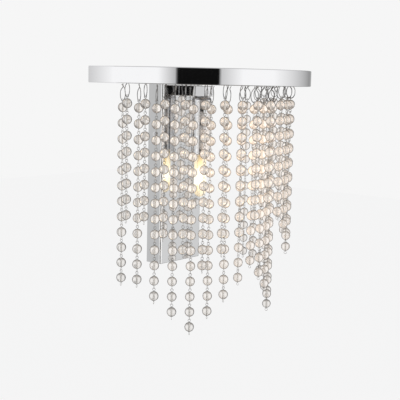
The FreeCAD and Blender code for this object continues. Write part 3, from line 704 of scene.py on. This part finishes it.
# --- hooks --------------------------------------------------------------------------------
def row_tree():
    """The piece repeated along a row on an arc, facing out from its middle."""
    tree, graph, given = new_tree("row_of_hooks", {"Count": "Int", "Radius": "Float", "Middle": "Float",
                                                   "Step": "Float", "Height": "Float"})
    spots = graph.add("GeometryNodePoints", {}, {"Count": given.beside("Count")})
    index = graph.add("GeometryNodeInputIndex")
    turn = (index - (given.beside("Count") - 1) * 0.5) * given.beside("Step")
    sine = turn.math("SINE", turn)
    cosine = turn.math("COSINE", turn)
    place = graph.add("ShaderNodeCombineXYZ", {}, {
        "X": sine * given.beside("Radius"), "Y": given.beside("Middle") - cosine * given.beside("Radius"),
        "Z": given.beside("Height")})
    spots = graph.add("GeometryNodeSetPosition", {}, {"Geometry": spots, "Position": place})
    facing = graph.add("ShaderNodeCombineXYZ", {}, {"Z": turn})
    row = graph.add("GeometryNodeInstanceOnPoints", {}, {"Points": spots, "Instance": given,
                                                         "Rotation": facing})
    graph.add("NodeGroupOutput", {}, {0: finished(graph, row, HOOK_STEEL)})
    return tree


def hook_pattern(name, over):
    """One bent wire: tail over the sheet, stem, oval loop and flared tip, in mm from the loop's foot."""
    line = [(4.5, 0, over), (1.6, 0, over), (0, 0, over - 1.5), (0, 0, 22), (0.5, 0, 18), (4, 0, 14),
            (5.6, 0, 8.4), (4.5, 0, 2.9), (2, 0, 0.14), (-2, 0, 0.14), (-4.5, 0, 2.9), (-5.6, 0, 8.4),
            (-4.4, -0.4, 13.2), (-1.8, -1, 15.9), (-2.1, -1.2, 18), (-4.2, -1, 19.4)]
    curve = bpy.data.curves.new(name, "CURVE")
    curve.dimensions = "3D"
    curve.bevel_depth = HOOK_WIRE
    curve.bevel_resolution = 1
    curve.resolution_u = 4
    curve.use_fill_caps = True
    spline = curve.splines.new("BEZIER")
    spline.bezier_points.add(len(line) - 1)
    for point, place in zip(spline.bezier_points, line):
        point.co = Vector(place) * MM
        point.handle_left_type = point.handle_right_type = "AUTO"
    bent = bpy.data.objects.new(name + "_line", curve)
    bpy.context.scene.collection.objects.link(bent)
    settled = bpy.context.evaluated_depsgraph_get()
    mesh = bpy.data.meshes.new_from_object(bent.evaluated_get(settled), depsgraph=settled)
    bpy.data.objects.remove(bent)
    mesh.transform(Matrix.Rotation(HOOK_TURN, 4, "Z"))
    piece = bpy.data.objects.new(name, mesh)
    bpy.context.scene.collection.objects.link(piece)
    return piece


def make_hooks():
    """Both rows of hooks, each with its loops' feet at the height of its hinges."""
    tree = row_tree()
    for row, (radius, middle, step) in HOOK_ROWS.items():
        height = next(j["pos_m"][2] for j in frame["joints"] if j["child"].startswith(row))
        piece = hook_pattern("hooks_" + row, (PLATE_HIGH.z + HOOK_TAIL_RISE - height) / MM)
        grown(piece, tree, {"Count": HOOKS_IN_ROW, "Radius": radius, "Middle": middle,
                            "Step": math.radians(step), "Height": height})
        settle(piece, "wire", "s_hooks_" + row)


# --- studio -------------------------------------------------------------------------------
# Level directions from the light: to the camera, and to the picture's right.
TO_CAMERA = Vector((-0.7475, -0.6643, 0)).normalized()
ACROSS = Vector((-TO_CAMERA.y, TO_CAMERA.x, 0))
BACKDROP = rgb(0.9216, 0.9216, 0.9216)
# What polished metal sees round the horizon, (degrees from the camera's side, brightness): a
# pale room, a white wall, a dark screen, and a second white wall that dims towards its far end.
HORIZON = [(-180, 0.6), (-90, 0.5), (-87, 1.0), (-36, 1.0), (-19, 0.5), (-18, 0.005), (22, 0.005),
           (23, 0.6), (45, 1.0), (80, 1.0), (150, 0.3), (180, 0.6)]
# The same for what is seen through the beads.
BEHIND = [(-180, 0.74), (-160, 0.82), (-145, 0.8), (-134, 0.55), (-125, 0.16), (-100, 0.1), (-88, 0.4),
          (-72, 0.9), (-40, 1.0), (-19, 0.9), (-17, 0.02), (21, 0.02), (23, 0.9), (60, 1.0), (85, 0.95),
          (100, 0.85), (115, 0.6), (130, 0.7), (145, 0.87), (160, 0.84), (180, 0.74)]
# Brightness of the board from its middle to its side edges: shaded as far as the band reaches.
BOARD_SHADE = [(0.0, 0.7), (0.75, 0.6), (1.0, 1.0)]


def make_world():
    """Pale studio: an even light, a level backdrop, and its own surroundings for metal and glass."""
    world = bpy.data.worlds.new("pale_studio")
    bpy.context.scene.world = world
    world.use_nodes = True
    graph = Graph(world.node_tree)
    direction = graph.add("ShaderNodeTexCoord", output="Generated")
    x = graph.add("ShaderNodeSeparateXYZ", {}, {"Vector": direction})
    y, z = x.beside("Y"), x.beside("Z")
    towards = x * TO_CAMERA.x + y * TO_CAMERA.y
    across = x * ACROSS.x + y * ACROSS.y
    turn = x.math("ARCTAN2", across, towards) / (2 * math.pi) + 0.5
    seen = []
    for stops in (HORIZON, BEHIND):
        ramp = [(degrees / 360 + 0.5, level) for degrees, level in stops]
        seen.append(graph.add("ShaderNodeValToRGB", {"stops": ramp}, {"Fac": turn}))
    # Over the horizon metal and glass see a plain ceiling, and well under it a dark floor.
    lift = (z * 3 - 0.9).clipped()
    fall = (z * -3 - 0.9).clipped()
    mirror = graph.mix(fall, graph.mix(lift, seen[0], rgb(0.5, 0.5, 0.5)), rgb(0.12, 0.115, 0.11))
    lift = (z * 4 - 2.8).clipped()
    fall = (z * -4 - 1.9).clipped()
    through = graph.mix(fall, graph.mix(lift, seen[1], rgb(0.9, 0.9, 0.9)), rgb(0.3, 0.29, 0.28))
    path = graph.add("ShaderNodeLightPath", output="Is Camera Ray")
    colour = graph.mix(path.beside("Is Glossy Ray"), rgb(0.93, 0.93, 0.94), mirror)
    colour = graph.mix(path.beside("Is Transmission Ray"), colour, through)
    colour = graph.mix(path, colour, BACKDROP)
    light = graph.add("ShaderNodeBackground", {}, {"Color": colour, "Strength": 1.0})
    graph.add("ShaderNodeOutputWorld", {}, {"Surface": light})


def make_floor():
    """Pale paper well below the light, which metal and glass don't see."""
    half, level = 6.0, -0.9
    floor = piece_from("studio_floor", [(-half, -half, level), (half, -half, level), (half, half, level),
                                        (-half, half, level)], [(0, 1, 2, 3)])

    def build(graph, place):
        path = graph.add("ShaderNodeLightPath", output="Is Camera Ray")
        soft = graph.noise(place, 1.5, 2.0)
        matt = graph.add("ShaderNodeBsdfDiffuse", {}, {
            "Color": graph.mix(soft, rgb(0.9, 0.9, 0.9), rgb(0.88, 0.88, 0.88))})
        bright = graph.add("ShaderNodeEmission", {}, {"Color": BACKDROP, "Strength": 1.0})
        return graph.add("ShaderNodeMixShader", {}, {0: path * 0.85, 1: matt, 2: bright})
    floor.data.materials.append(finish("floor_paper", build))
    floor.visible_glossy = False
    floor.visible_transmission = False


def make_board():
    """Pale board behind the light that only polished metal sees, shaded under the canopy."""
    half, low, high = 0.2, -0.32, 0.12
    board = piece_from("mounting_board", [(-half, 2 * MM, low), (half, 2 * MM, low), (half, 2 * MM, high),
                                          (-half, 2 * MM, high)], [(0, 1, 2, 3)])

    def build(graph, place):
        x = graph.add("ShaderNodeSeparateXYZ", {}, {"Vector": place})
        side = x.math("ABSOLUTE", x) / half
        shade = graph.add("ShaderNodeValToRGB", {"stops": BOARD_SHADE}, {"Fac": side})
        return graph.add("ShaderNodeEmission", {}, {"Color": shade, "Strength": 1.0})
    board.data.materials.append(finish("board_paint", build))
    board.visible_camera = board.visible_diffuse = board.visible_shadow = False
    board.visible_transmission = False


def make_lights():
    """One large soft lamp, high on the camera's side."""
    key = bpy.data.lights.new("soft_key", "AREA")
    key.shape = "DISK"
    key.size = 1.2
    key.energy = 6
    lamp = bpy.data.objects.new("soft_key", key)
    place = Vector((-0.9, -1.4, 1.2))
    lamp.matrix_world = Matrix.Translation(place) @ (-place).to_track_quat("-Z", "Y").to_matrix().to_4x4()
    lamp.visible_glossy = False
    lamp.visible_transmission = False
    bpy.context.scene.collection.objects.link(lamp)


def make_camera():
    """Solved from the picture: the strings' spacing, the band's outline and the cover."""
    heading = math.radians(50.448)      # from +Y towards +X
    dip, roll = math.radians(7.675), math.radians(1.251)
    distance, aside, height = 1211.2 * MM, 43.8 * MM, 72.13 * MM
    camera = bpy.data.cameras.new("view_camera")
    camera.sensor_width = 36
    camera.lens = 80.38
    camera.clip_start = 0.05
    camera.clip_end = 30
    holder = bpy.data.objects.new("view_camera", camera)
    onward = Vector((math.sin(heading), math.cos(heading), 0))
    level = Vector((math.cos(heading), -math.sin(heading), 0))
    upright = Vector((0, 0, 1))
    sight = onward * math.cos(dip) - upright * math.sin(dip)
    over = upright * math.cos(dip) + onward * math.sin(dip)
    right = level * math.cos(roll) + over * math.sin(roll)
    up = over * math.cos(roll) - level * math.sin(roll)
    turn = Matrix((right, up, -sight)).transposed().to_4x4()
    place = level * aside - onward * distance + upright * height
    holder.matrix_world = Matrix.Translation(place) @ turn
    bpy.context.scene.collection.objects.link(holder)
    bpy.context.scene.camera = holder


def dress_nodes():
    """Gives the model's own solids that stay in view their finishes."""
    for name, material in CAD_FINISHES.items():
        node = frame["nodes"][name]
        node.data.materials.clear()
        node.data.materials.append(material)


make_camera()
make_world()
make_floor()
make_board()
make_lights()
dress_nodes()
make_band()
make_cover()
make_arm()
make_cup()
make_bulb()
make_screws()
make_strings()
make_hooks()
bpy.context.scene.view_settings.view_transform = "Standard"
